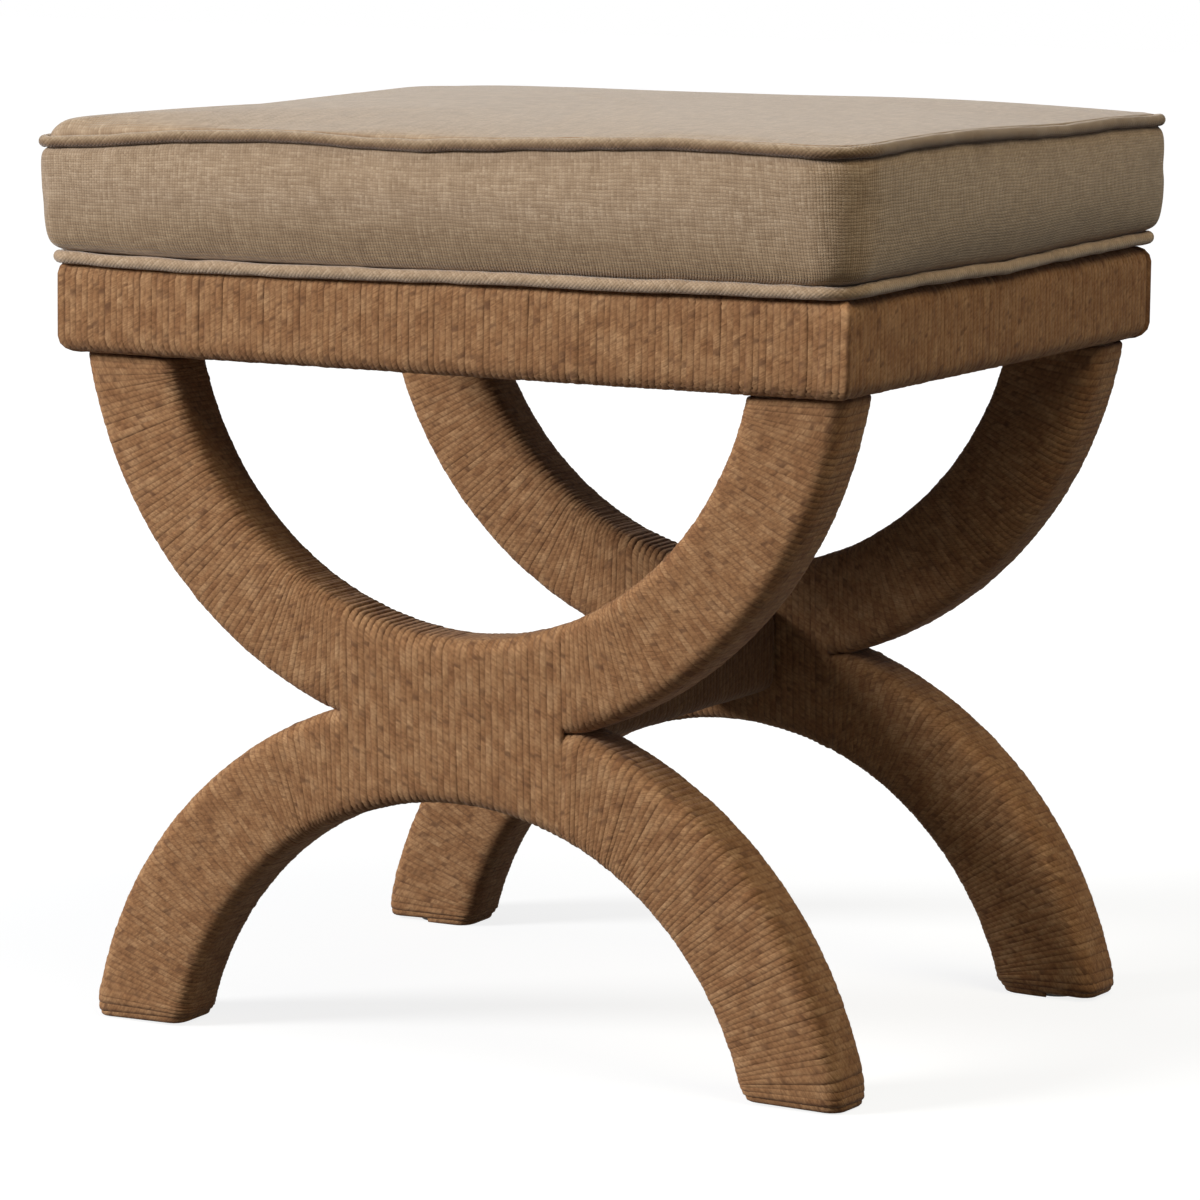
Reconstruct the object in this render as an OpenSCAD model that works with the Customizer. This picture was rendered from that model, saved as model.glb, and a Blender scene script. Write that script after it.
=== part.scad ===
// Bench on two cord-bound X-frames, with a welted box cushion.
// Millimetres. The floor is z = 0, the long side runs along X, and the front faces -Y.

/* [Seat frame] */
// Length of the cord-covered seat frame
seat_w = 484; // [460:1:520]
// Depth of the cord-covered seat frame
seat_d = 366; // [340:1:400]
// Side of the square section of the bare seat rails
rail_s = 44; // [40:1:48]
// Rounding of the seat frame's upright corners
corner_r = 5; // [3:0.5:7]

/* [Arches] */
// From the end of the seat frame to the outer face of an arm, at its top
arm_inset = 7; // [5:0.5:11]
// From the front of the seat frame to the front face of an X-frame
arch_inset = 11; // [9:0.5:14]
// Radial width of a bare arch
arch_w = 50; // [46:1:54]
// Thickness of a bare arch, front to back
arch_t = 30; // [28:1:34]
// How far the centre of an arch lies beyond the cut ends of its arms
arch_drop = 39; // [34:1:44]
// How deep the round outer faces of two cord-covered arches run into each other at the hub
hub_overlap = 26; // [24:1:30]
// Rounding of the arches' long edges
arch_edge_r = 5; // [4:0.5:7]

/* [Cord] */
// Thickness of one layer of wound cord
cord_t = 4; // [3.5:0.1:4.5]
// Width of one turn of a hub binding
turn_w = 4.8; // [4.4:0.1:4.9]
// Turns in one hub binding, an odd number so that one turn lies on the centre line
hub_turns = 23; // [19:2:23]
// Half the length of a hub binding
binding_half = 68; // [67:0.5:70]

/* [Stretcher] */
// Width of the bare stretcher between the hubs
stretcher_w = 58; // [50:1:64]
// Height of the bare stretcher
stretcher_h = 42; // [38:1:48]

/* [Cushion] */
// Height of the cloth band between the two welts
boxing_h = 63; // [50:1:80]
// Rise of the cushion's top from its edge to its middle
crown = 8; // [5:0.5:14]
// How far the band swells between the welts
puff = 8; // [5:0.5:11]
// Corner radius of the cushion in plan
cushion_r = 18; // [14:1:26]
// Diameter of the piped welts
welt_d = 6.5; // [5:0.1:7]

/* [Hidden] */
$fn = 64;

// Colours
wood_colour = "#c9a877";
cord_colour = "#8c6949";
cloth_colour = "#b9ab98";
foam_colour = "#e9dfb8";
steel_colour = "#b9bcc0";
black_colour = "#2b2a29";

// Clearances
cord_gap = 0.2;
rest_gap = 0.3;
fit_gap = 0.1;
overrun = 1;

// Fixings
hub_dowel_d = 10;
hub_dowel_depth = 18;
hub_dowel_x = 38;
arm_dowel_d = 8;
arm_dowel_depth = 20;
arm_dowel_out = [-14, 5];
arm_dowel_in = [11, -8];
arm_screw_at = [0, 8];
arm_screw_d = 6;
arm_screw_len = 80;
block_screw_d = 4.5;
block_screw_len = 50;
block_screw_sink = 5;
seat_screw_d = 5;
seat_screw_grip = 10;
seat_screw_head = 4;
bolt_d = 8;
bolt_head_d = 18;
bolt_head_h = 4.5;
bolt_neck_h = 4;
bolt_spread = 12;
bolt_tail = 2;
nut_flats = 13;
nut_h = 6.5;
washer_d = 16;
washer_t = 1.6;

// Nut slots in the stretcher
slot_w = 20;
slot_len = 16;
slot_wall = 25;

// Seat frame and its blocks
rail_edge_r = 2;
block_leg = 55;
block_h = 40;
block_screw_y = 28;
seat_screw_inset = 18;
board_t = 12;
dust_t = 0.8;
dust_inset = 2;

// Foot glides
glide_d = 24;
glide_t = 2;
glide_pin_d = 3;
glide_pin_len = 16;

// Cushion cloth: the tucked-under lip, and where its band starts and ends beyond the seat frame
cover_t = 1.2;
lip_w = 30;
band_low_out = -3;
band_top_out = 4.5;
welt_seat = 2.2;
puff_power = 0.7;
crown_power = 3;
band_shares = [0.25, 0.5, 0.75, 0.9, 1];
seam_shares = [0.2, 0.8];
crown_shares = [0.92, 0.75, 0.5, 0.25];
arc_steps = 5;

// Radii of an arch, measured from its own centre
cord_out_r = norm([seat_w / 2 - arm_inset, arch_drop]);
wood_out_r = cord_out_r - cord_t;
wood_in_r = wood_out_r - arch_w;
arch_r = wood_out_r - arch_w / 2;

// Heights
base_h = 2 * (cord_out_r - arch_drop) - hub_overlap;
upper_centre = base_h + arch_drop;
lower_centre = -arch_drop;
hub_z = base_h / 2;
rail_z = base_h + cord_t;
rail_top = rail_z + rail_s;
frame_top = rail_top + cord_t;
cover_z = frame_top + rest_gap;
board_z = cover_z + cover_t + rest_gap;
board_top = board_z + board_t;
band_z = cover_z + welt_d;
band_top = band_z + boxing_h;
edge_z = band_top + welt_d;
foam_z = board_top + rest_gap;

// Plan
arch_y = seat_d / 2 - arch_inset - cord_t - arch_t / 2;
arm_x = sqrt(arch_r * arch_r - pow(arch_drop - cord_t, 2));
foot_x = sqrt(arch_r * arch_r - pow(arch_drop + glide_t, 2));
wood_half_w = seat_w / 2 - cord_t;
wood_half_d = seat_d / 2 - cord_t;
block_x = wood_half_w - rail_s;
block_y = wood_half_d - rail_s;
binding_y = arch_t / 2 + rest_gap;
stretcher_half = arch_y - binding_y - cord_t - rest_gap;
span = seat_w + seat_d;

// Side flags
front = -1;
back = 1;
left = -1;
right = 1;

// Plain forms

module rounded_rect(w, h, r) {
    square([w - 2 * r, h], center = true);
    square([w, h - 2 * r], center = true);
    for (x = [-1, 1], y = [-1, 1])
        translate([x * (w / 2 - r), y * (h / 2 - r)]) circle(r);
}

// A rod that starts at the origin and runs up Z
module rod(d, len) {
    cylinder(d = d, h = len);
}

// A countersunk screw whose head lies in the plane z = 0 and whose shank runs down
module wood_screw(d, len, gap = 0) {
    translate([0, 0, -len - gap]) rod(d + 2 * gap, len + gap);
    translate([0, 0, -d / 2 - gap]) cylinder(d1 = d + 2 * gap, d2 = 2 * d + 2 * gap, h = d / 2 + gap);
}

// Copies its children to the four corners of the bench
module at_corners() {
    for (x = [0, 1], y = [0, 1])
        mirror([x, 0, 0]) mirror([0, y, 0]) children();
}

// Everything between two heights
module slab(z0, z1) {
    translate([-span, -span, z0]) cube([2 * span, 2 * span, z1 - z0]);
}

// X-frames

// A full ring about the Y axis, of which an arch or a wrap is a part
module ring(grow) {
    rotate([90, 0, 0]) rotate_extrude($fn = 128)
        translate([arch_r, 0])
            rounded_rect(arch_w + 2 * grow, arch_t + 2 * grow, arch_edge_r + grow);
}

module hub_dowel(gap = 0) {
    for (side = [left, right])
        translate([side * hub_dowel_x, 0, hub_z - hub_dowel_depth - gap])
            rod(hub_dowel_d + 2 * gap, 2 * (hub_dowel_depth + gap));
}

// Lies along Y with its head towards +Y, for the back hub
module carriage_bolt(gap = 0) {
    head_y = arch_t / 2 - bolt_head_h - rest_gap;
    tail = head_y + arch_y - (stretcher_half - slot_wall - washer_t - nut_h - bolt_tail);
    for (z = [-bolt_spread, bolt_spread])
        translate([0, head_y, hub_z + z]) {
            rotate([90, 0, 0]) rod(bolt_d + 2 * gap, tail);
            translate([-bolt_d / 2 - gap, -bolt_neck_h - gap, -bolt_d / 2 - gap])
                cube([bolt_d + 2 * gap, bolt_neck_h + gap, bolt_d + 2 * gap]);
            rotate([-90, 0, 0]) bolt_head(gap);
        }
}

module bolt_head(gap) {
    if (gap > 0)
        rod(bolt_head_d + 2 * gap, bolt_head_h + overrun);
    else
        intersection() {
            rod(bolt_head_d, bolt_head_h);
            translate([0, 0, bolt_head_h - bolt_head_d]) sphere(bolt_head_d);
        }
}

// The wood arches are centred on y = 0 here and moved to their frame below
module upper_arch_wood() {
    difference() {
        intersection() {
            translate([0, 0, upper_centre]) ring(0);
            slab(hub_z, rail_z);
        }
        hub_dowel(fit_gap);
        carriage_bolt(fit_gap);
    }
}

module lower_arch_wood() {
    difference() {
        intersection() {
            translate([0, 0, lower_centre]) ring(0);
            slab(glide_t, hub_z);
        }
        hub_dowel(fit_gap);
        carriage_bolt(fit_gap);
        for (side = [left, right])
            translate([side * foot_x, 0, 0]) glide(fit_gap);
    }
}

// Moves children made for the back frame to the front or back one
module in_frame(where) {
    if (where == front)
        mirror([0, 1, 0]) translate([0, arch_y, 0]) children();
    else
        translate([0, arch_y, 0]) children();
}

module upper_arch(where) {
    color(wood_colour) difference() {
        in_frame(where) upper_arch_wood();
        arm_dowel_set(fit_gap);
        arm_screw_set(fit_gap);
    }
}

module lower_arch(where) {
    color(wood_colour) in_frame(where) lower_arch_wood();
}

module hub_dowels(where) {
    color(wood_colour) in_frame(where) hub_dowel();
}

// The cord layer on one arm, from the edge of the hub binding to the end of the arm
module arm_wrap(where, side, centre, z0, z1) {
    color(cord_colour) in_frame(where) intersection() {
        translate([0, 0, centre]) difference() {
            ring(cord_t);
            ring(cord_gap);
        }
        mirror([side == left ? 1 : 0, 0, 0])
            translate([binding_half + cord_gap, -span, z0]) cube([span, 2 * span, z1 - z0]);
    }
}

module upper_wrap(where, side) {
    arm_wrap(where, side, upper_centre, hub_z + cord_gap / 2, base_h);
}

module lower_wrap(where, side) {
    arm_wrap(where, side, lower_centre, glide_t, hub_z - cord_gap / 2);
}

// Hub binding: one unbroken cord wound round the crossing of the arches. On the inner face
// the turns part round the two bolts.
loop_rings = 12;
cord_sides = 6;
binding_rings = hub_turns * loop_rings;
turn_pitch = (2 * binding_half - turn_w) / hub_turns;
binding_reach = turn_pitch * hub_turns / 2;
lift = rest_gap + cord_t / 2;
bend_r = (arch_edge_r + lift) / cos(180 / loop_rings);
part_at = turn_pitch * (0.5 - 0.5 / loop_rings);
bolt_room = bolt_d / 2 + fit_gap + rest_gap + turn_w / 2;
part_shift = (bolt_room - part_at) / (1 - part_at / binding_reach);

function hub_top(x) = upper_centre - sqrt(wood_in_r * wood_in_r - x * x);
function hub_bottom(x) = lower_centre + sqrt(wood_in_r * wood_in_r - x * x);
function parted(x) = x + sign(x) * part_shift * (1 - abs(x) / binding_reach);

// Centre line of the binding after s turns, counted from the turn at x = 0
function turn_point(s) =
    let (
        out = cos(360 * s),
        up = sin(360 * s),
        x = out < 0 ? parted(turn_pitch * s) : turn_pitch * s,
        corner_y = sign(out) * (arch_t / 2 - arch_edge_r),
        corner_z = up > 0 ? hub_top(x) - arch_edge_r : hub_bottom(x) + arch_edge_r
    )
    [x, corner_y + bend_r * out, corner_z + bend_r * up];

function tail_point(s) =
    let (x = parted(turn_pitch * s))
    [x, -arch_t / 2 - lift, (hub_top(x) + hub_bottom(x)) / 2];

binding_line = concat(
    [tail_point(-hub_turns / 2)],
    [for (i = [0 : binding_rings - 1]) turn_point(-hub_turns / 2 + (i + 0.5) / loop_rings)],
    [tail_point(hub_turns / 2)]
);

function unit(v) = v / norm(v);
function heading(line, i) = unit(line[i + 1] - line[i]);

// One ring of a flattened cord: wide along X and thick across the way it runs
function cord_ring(line, i) =
    let (
        last = len(line) - 1,
        before = heading(line, max(i - 1, 0)),
        after = heading(line, min(i, last - 1)),
        along = unit(before + after),
        stretch = 1 / sqrt((1 + before * after) / 2),
        side = unit([1, 0, 0] - along * along[0]),
        thick = cross(along, side) * stretch * cord_t / 2 / cos(180 / cord_sides)
    )
    [for (k = [0 : cord_sides - 1])
        line[i] + side * cos(360 * k / cord_sides) * turn_w / 2 + thick * sin(360 * k / cord_sides)];

binding_points = [for (i = [0 : len(binding_line) - 1]) cord_ring(binding_line, i)];

function least(list) = min([for (item = list) item]);
binding_gap = least([for (i = [0 : len(binding_line) - 1 - loop_rings])
    least([for (p = binding_points[i], q = binding_points[i + loop_rings]) norm(p - q)])]);
echo("least gap between two turns of a hub binding", binding_gap);  // front_hub_binding

// Joins rings of n points each into a closed tube, with both ends capped
function tube_faces(rings, n) = concat(
    [for (i = [0 : rings - 2], k = [0 : n - 1])
        [i * n + k, (i + 1) * n + (k + 1) % n, i * n + (k + 1) % n]],
    [for (i = [0 : rings - 2], k = [0 : n - 1])
        [i * n + k, (i + 1) * n + k, (i + 1) * n + (k + 1) % n]],
    [for (k = [1 : n - 2]) [0, k, k + 1]],
    [for (k = [1 : n - 2]) [(rings - 1) * n, (rings - 1) * n + k + 1, (rings - 1) * n + k]]
);

module hub_binding(where) {
    rings = len(binding_points);
    color(cord_colour) in_frame(where)
        polyhedron(
            points = [for (ring = binding_points, p = ring) p],
            faces = tube_faces(rings, cord_sides)
        );
}

// Stretcher between the hubs

module along_y(w, h, r, half) {
    translate([0, half, hub_z]) rotate([90, 0, 0])
        linear_extrude(2 * half) rounded_rect(w, h, r);
}

module stretcher() {
    color(wood_colour) difference() {
        along_y(stretcher_w, stretcher_h, arch_edge_r, stretcher_half);
        for (where = [front, back]) {
            in_frame(where) carriage_bolt(fit_gap);
            mirror([0, where == front ? 1 : 0, 0])
                translate([-slot_w / 2, stretcher_half - slot_wall - slot_len, 0])
                    cube([slot_w, slot_len, base_h]);
        }
    }
}

module stretcher_wrap() {
    color(cord_colour) difference() {
        along_y(stretcher_w + 2 * cord_t, stretcher_h + 2 * cord_t, arch_edge_r + cord_t,
            stretcher_half);
        along_y(stretcher_w + 2 * cord_gap, stretcher_h + 2 * cord_gap, arch_edge_r + cord_gap,
            stretcher_half + overrun);
    }
}

module stretcher_bolts(where) {
    color(steel_colour) in_frame(where) carriage_bolt();
}

// A washer and a nut on each bolt, inside the slots
module stretcher_nuts() {
    color(steel_colour) for (y = [0, 1], z = [-bolt_spread, bolt_spread])
        mirror([0, y, 0])
            translate([0, stretcher_half - slot_wall, hub_z + z]) rotate([90, 0, 0])
                difference() {
                    union() {
                        rod(washer_d, washer_t);
                        translate([0, 0, washer_t])
                            cylinder(r = nut_flats / 2 / cos(30), h = nut_h, $fn = 6);
                    }
                    translate([0, 0, -overrun])
                        rod(bolt_d + 2 * fit_gap, washer_t + nut_h + 2 * overrun);
                }
}

// Seat frame. Every rail is made as the front one and turned to its side.

sides = ["front", "right", "back", "left"];
function side_len(k) = k % 2 == 0 ? seat_w : seat_d;
function side_depth(k) = k % 2 == 0 ? seat_d : seat_w;

// The wedge between two mitre planes, from the outer face inwards
module mitre_zone(half_len, half_depth, inward) {
    slab_h = frame_top - base_h + 2 * overrun;
    translate([0, 0, base_h - overrun]) linear_extrude(slab_h)
        polygon([
            [-half_len, -half_depth],
            [half_len, -half_depth],
            [half_len - inward, -half_depth + inward],
            [-half_len + inward, -half_depth + inward]
        ]);
}

// A bar along X whose outer face is the plane y = -half_depth
module rail_bar(half_len, half_depth, size, z, r) {
    translate([-half_len, -half_depth + size / 2, z + size / 2])
        rotate([90, 0, 90]) linear_extrude(2 * half_len) rounded_rect(size, size, r);
}

module rail(k) {
    half_len = side_len(k) / 2 - cord_t;
    half_depth = side_depth(k) / 2 - cord_t;
    color(wood_colour) difference() {
        rotate([0, 0, 90 * k]) intersection() {
            rail_bar(half_len, half_depth, rail_s, rail_z, rail_edge_r);
            mitre_zone(half_len, half_depth, rail_s);
        }
        arm_dowel_set(fit_gap);
        arm_screw_set(fit_gap);
        block_screw_set(fit_gap);
    }
}

module rail_wrap(k) {
    half_len = side_len(k) / 2;
    half_depth = side_depth(k) / 2;
    size = rail_s + 2 * cord_t;
    hole = rail_s + 2 * cord_gap;
    color(cord_colour) difference() {
        intersection() {
            rotate([0, 0, 90 * k]) intersection() {
                difference() {
                    rail_bar(half_len, half_depth, size, base_h, rail_edge_r + cord_t);
                    rail_bar(half_len, half_depth - cord_t + cord_gap, hole, rail_z - cord_gap,
                        rail_edge_r + cord_gap);
                }
                mitre_zone(half_len, half_depth, size);
            }
            translate([0, 0, base_h - overrun])
                linear_extrude(size + 2 * overrun) rounded_rect(seat_w, seat_d, corner_r);
        }
        at_corners() arm_pocket();
        at_corners() corner_block(cord_gap);
    }
}

// Room in the cord under a rail for the end of an arm
module arm_pocket() {
    inner = sqrt(wood_in_r * wood_in_r - arch_drop * arch_drop) - cord_gap;
    outer = sqrt(wood_out_r * wood_out_r - pow(arch_drop - cord_t, 2)) + cord_gap;
    translate([inner, arch_y - arch_t / 2 - cord_gap, base_h - overrun])
        cube([outer - inner, arch_t + 2 * cord_gap, cord_t + overrun]);
}

module arm_dowel_set(gap = 0) {
    at_corners() for (at = [arm_dowel_out, arm_dowel_in])
        translate([arm_x + at[0], arch_y + at[1], rail_z - arm_dowel_depth - gap])
            rod(arm_dowel_d + 2 * gap, 2 * (arm_dowel_depth + gap));
}

module arm_screw_set(gap = 0) {
    at_corners()
        translate([arm_x + arm_screw_at[0], arch_y + arm_screw_at[1], rail_top])
            wood_screw(arm_screw_d, arm_screw_len, gap);
}

// A three-sided glue block in the inner corner of the rails
module corner_block(gap = 0) {
    leg = block_leg + 3 * gap;
    translate([block_x + gap, block_y + gap, board_z - block_h - gap])
        linear_extrude(block_h + 2 * gap) polygon([[0, 0], [-leg, 0], [0, -leg]]);
}

module corner_blocks() {
    color(wood_colour) difference() {
        at_corners() corner_block();
        block_screw_set(fit_gap);
        seat_screw_set(fit_gap);
    }
}

// Two screws through each block, one into either rail
module block_screw_set(gap = 0) {
    run = block_leg - block_screw_y - block_screw_sink;
    at_corners() translate([block_x, block_y, rail_z + rail_s / 2]) {
        translate([-run, -block_screw_y, 0]) rotate([0, -90, 0]) sunk_screw(gap);
        translate([-block_screw_y, -run, 0]) rotate([90, 0, 0]) sunk_screw(gap);
    }
}

module sunk_screw(gap) {
    wood_screw(block_screw_d, block_screw_len, gap);
    if (gap > 0)
        rod(2 * block_screw_d + 2 * gap, block_leg);
}

module seat_screw_set(gap = 0) {
    at_corners()
        translate([block_x - seat_screw_inset, block_y - seat_screw_inset, board_z - block_h]) {
            translate([0, 0, -seat_screw_head]) rod(2 * seat_screw_d, seat_screw_head);
            rod(seat_screw_d + 2 * gap, block_h + seat_screw_grip + gap);
        }
}

// Nailed glide: a disc on the floor and a pin up into the foot
module glide(gap = 0) {
    rod(glide_d, glide_t);
    translate([0, 0, glide_t]) rod(glide_pin_d + 2 * gap, glide_pin_len + gap);
}

module foot_glides() {
    color(black_colour) at_corners() translate([foot_x, arch_y, 0]) glide();
}

// Seat base

module seat_board() {
    inset = -band_low_out + cover_t + rest_gap;
    color(wood_colour) difference() {
        translate([0, 0, board_z]) linear_extrude(board_t)
            rounded_rect(seat_w - 2 * inset, seat_d - 2 * inset, cushion_r - inset);
        seat_screw_set(fit_gap);
    }
}

module dust_cover() {
    x = block_x - cord_t - dust_inset;
    y = block_y - cord_t - dust_inset;
    diagonal = block_x + block_y - block_leg - dust_inset;
    color(black_colour) translate([0, 0, board_z - dust_t]) linear_extrude(dust_t)
        polygon([
            [x, diagonal - x], [diagonal - y, y], [y - diagonal, y], [-x, diagonal - x],
            [-x, x - diagonal], [y - diagonal, -y], [diagonal - y, -y], [x, x - diagonal]
        ]);
}

// Cushion. Its levels are rounded rectangles, each given as how far it stands out from the
// seat frame's faces, the share of that size, and its height.

function band_out(share) =
    band_low_out + (band_top_out - band_low_out) * share + puff * pow(sin(180 * share), puff_power);

foam_share = (foam_z - band_z) / boxing_h;
all_band_shares = concat([foam_share], band_shares);

function crown_z(share) = edge_z + crown * (1 - pow(share, crown_power));

function band_levels(inward) =
    [for (share = all_band_shares) [band_out(share) - inward, 1, band_z + boxing_h * share]];

// The groove that the top welt sits in
function seam_levels(inward) =
    [for (share = seam_shares) [band_top_out - welt_seat - inward, 1, band_top + welt_d * share]];

function crown_levels(inward) =
    [for (share = crown_shares) [band_top_out - inward, share, crown_z(share) - inward]];

function level_points(out, share, z) =
    let (
        half_w = seat_w / 2 + out,
        half_d = seat_d / 2 + out,
        r = cushion_r + out
    )
    [for (q = [0 : 3], i = [0 : arc_steps])
        let (
            turn = i < arc_steps ? 90 * (q + i / (arc_steps - 1)) : 0,
            cx = (q == 0 || q == 3 ? 1 : -1) * (half_w - r),
            cy = (q < 2 ? 1 : -1) * (half_d - r),
            mid = [[0, half_d], [-half_w, 0], [0, -half_d], [half_w, 0]][q],
            p = i < arc_steps ? [cx + r * cos(turn), cy + r * sin(turn)] : mid
        )
        [p[0] * share, p[1] * share, z]];

// Rings of n points each, closed by a point at either end
function capped_faces(rings, n) = concat(
    [for (k = [0 : n - 1]) [rings * n, k, (k + 1) % n]],
    [for (i = [0 : rings - 2], k = [0 : n - 1])
        [i * n + k, (i + 1) * n + (k + 1) % n, i * n + (k + 1) % n]],
    [for (i = [0 : rings - 2], k = [0 : n - 1])
        [i * n + k, (i + 1) * n + k, (i + 1) * n + (k + 1) % n]],
    [for (k = [0 : n - 1]) [rings * n + 1, (rings - 1) * n + (k + 1) % n, (rings - 1) * n + k]]
);

module skin(levels, first, last) {
    n = 4 * (arc_steps + 1);
    points = [for (level = levels, p = level_points(level[0], level[1], level[2])) p];
    polyhedron(
        points = concat(points, [first, last]),
        faces = capped_faces(len(levels), n)
    );
}

// The cloth cover, with its lower edge turned in under the seat board as a lip
module seat_cover() {
    low_in = band_low_out - cover_t;
    outside = concat(
        [[band_low_out, 1, cover_z], [band_low_out, 1, band_z]],
        band_levels(0),
        seam_levels(0),
        [[band_top_out, 1, edge_z]],
        crown_levels(0)
    );
    inside = concat(
        [[low_in, 1, cover_z + cover_t], [low_in, 1, band_z]],
        band_levels(cover_t),
        seam_levels(cover_t),
        crown_levels(cover_t)
    );
    color(cloth_colour) difference() {
        skin(outside, [0, 0, cover_z], [0, 0, edge_z + crown]);
        skin(inside, [0, 0, cover_z + cover_t], [0, 0, edge_z + crown - cover_t]);
        translate([0, 0, cover_z - overrun]) linear_extrude(cover_t + 2 * overrun)
            square([seat_w - 2 * lip_w, seat_d - 2 * lip_w], center = true);
    }
}

module seat_foam() {
    inward = cover_t + rest_gap;
    levels = concat(band_levels(inward), seam_levels(inward), crown_levels(inward));
    color(foam_colour) skin(levels, [0, 0, foam_z], [0, 0, edge_z + crown - inward]);
}

// A closed piped cord round the cushion
module welt(out, z) {
    half_w = seat_w / 2 + out;
    half_d = seat_d / 2 + out;
    r = cushion_r + out;
    color(cloth_colour) translate([0, 0, z]) {
        for (q = [0 : 3])
            translate([(q == 0 || q == 3 ? 1 : -1) * (half_w - r), (q < 2 ? 1 : -1) * (half_d - r), 0])
                rotate([0, 0, 90 * q]) rotate_extrude(angle = 90)
                    translate([r, 0]) circle(d = welt_d);
        for (y = [-half_d, half_d])
            translate([r - half_w, y, 0]) rotate([0, 90, 0]) rod(welt_d, 2 * (half_w - r));
        for (x = [-half_w, half_w])
            translate([x, r - half_d, 0]) rotate([-90, 0, 0]) rod(welt_d, 2 * (half_d - r));
    }
}

module top_welt() {
    welt(band_top_out - welt_seat + rest_gap + welt_d / 2, band_top + welt_d / 2);
}

module bottom_welt() {
    welt(band_low_out + rest_gap + welt_d / 2, cover_z + welt_d / 2);
}

upper_arch(front);  // front_upper_arch
lower_arch(front);  // front_lower_arch
hub_dowels(front);  // front_hub_dowels
hub_binding(front);  // front_hub_binding
upper_wrap(front, left);  // front_left_upper_wrap
upper_wrap(front, right);  // front_right_upper_wrap
lower_wrap(front, left);  // front_left_lower_wrap
lower_wrap(front, right);  // front_right_lower_wrap
upper_arch(back);  // back_upper_arch
lower_arch(back);  // back_lower_arch
hub_dowels(back);  // back_hub_dowels
hub_binding(back);  // back_hub_binding
upper_wrap(back, left);  // back_left_upper_wrap
upper_wrap(back, right);  // back_right_upper_wrap
lower_wrap(back, left);  // back_left_lower_wrap
lower_wrap(back, right);  // back_right_lower_wrap
stretcher();
stretcher_wrap();
stretcher_bolts(front);  // front_stretcher_bolts
stretcher_bolts(back);  // back_stretcher_bolts
stretcher_nuts();
for (k = [0 : 3]) {
    rail(k);
    rail_wrap(k);
}
color(wood_colour) arm_dowel_set();  // arm_dowels
color(steel_colour) arm_screw_set();  // arm_screws
corner_blocks();
color(steel_colour) block_screw_set();  // block_screws
foot_glides();
seat_board();
color(steel_colour) seat_screw_set();  // seat_screws
dust_cover();
seat_foam();
seat_cover();
top_welt();
bottom_welt();
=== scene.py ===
"""The visual model of the cord-bound bench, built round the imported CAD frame."""

import math

import bpy
import numpy as np
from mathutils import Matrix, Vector


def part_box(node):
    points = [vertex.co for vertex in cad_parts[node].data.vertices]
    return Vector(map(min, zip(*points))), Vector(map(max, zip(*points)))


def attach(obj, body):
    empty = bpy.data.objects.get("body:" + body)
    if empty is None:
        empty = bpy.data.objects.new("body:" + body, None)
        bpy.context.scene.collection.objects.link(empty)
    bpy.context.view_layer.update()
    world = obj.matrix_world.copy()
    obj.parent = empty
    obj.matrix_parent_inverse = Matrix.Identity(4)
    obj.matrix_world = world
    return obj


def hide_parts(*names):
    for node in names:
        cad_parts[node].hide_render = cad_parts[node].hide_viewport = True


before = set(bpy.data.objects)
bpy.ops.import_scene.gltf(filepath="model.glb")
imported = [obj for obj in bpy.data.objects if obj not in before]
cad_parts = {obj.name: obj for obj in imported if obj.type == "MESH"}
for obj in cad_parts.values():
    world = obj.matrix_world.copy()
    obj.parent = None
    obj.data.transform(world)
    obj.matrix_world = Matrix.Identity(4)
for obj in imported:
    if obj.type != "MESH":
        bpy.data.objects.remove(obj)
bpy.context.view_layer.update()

# Lengths are in millimetres up to put(), which makes metres of them.
MM = 0.001


def ends(node, axis):
    """Where a CAD node begins and ends along x, y or z."""
    return [round(corner["xyz".index(axis)] / MM, 3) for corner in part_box(node)]


def extent(node, axis):
    """How long a CAD node is along x, y or z."""
    low, high = ends(node, axis)
    return high - low


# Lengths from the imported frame.
SEAT_W, SEAT_D = 2 * ends("right_rail_wrap", "x")[1], 2 * ends("back_rail_wrap", "y")[1]
RAIL_Z, RAIL_S = ends("front_rail", "z")[0], extent("front_rail", "z")
CORD_T = RAIL_Z - ends("front_rail_wrap", "z")[0]
ARCH_T, ARCH_Y = extent("back_upper_arch", "y"), sum(ends("back_upper_arch", "y")) / 2
HUB_Z = ends("front_upper_arch", "z")[0]
BINDING_HALF = ends("front_hub_binding", "x")[1]
STRETCHER_W, STRETCHER_H = extent("stretcher", "x"), extent("stretcher", "z")
STRETCHER_HALF = ends("stretcher", "y")[1]
BOARD_Z, BOARD_TOP = ends("seat_board", "z")
COVER_Z, BAND_TOP = ends("seat_cover", "z")[0], ends("top_welt", "z")[0]

# The circles of the arches, worked out from the same lengths as in part.scad.
ARM_INSET, ARCH_DROP, ARCH_W = 7, 39, 50
ARCH_R = math.hypot(SEAT_W / 2 - ARM_INSET, ARCH_DROP) - CORD_T - ARCH_W / 2
UPPER_CENTRE, LOWER_CENTRE = 2 * HUB_Z + ARCH_DROP, -ARCH_DROP

# The welts of the cushion: thickness, and how far out beyond the seat frame their middles are.
TOP_WELT_D, TOP_WELT_OUT = 6.5, 6.3
LOW_WELT_D, LOW_WELT_OUT = 7.0, 1.0
LOW_WELT_UP = 2.77  # from the cover's underside up to the middle of the lower welt
LOW_WELT_Z, TOP_WELT_Z = COVER_Z + LOW_WELT_UP, round(BAND_TOP + TOP_WELT_D / 2, 2)
# The boxing runs from BAND_Z to BAND_TOP, and the crowned top rises from EDGE_Z.
BAND_Z, EDGE_Z, CROWN = COVER_Z + TOP_WELT_D, BAND_TOP + TOP_WELT_D, 4.3
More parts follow.
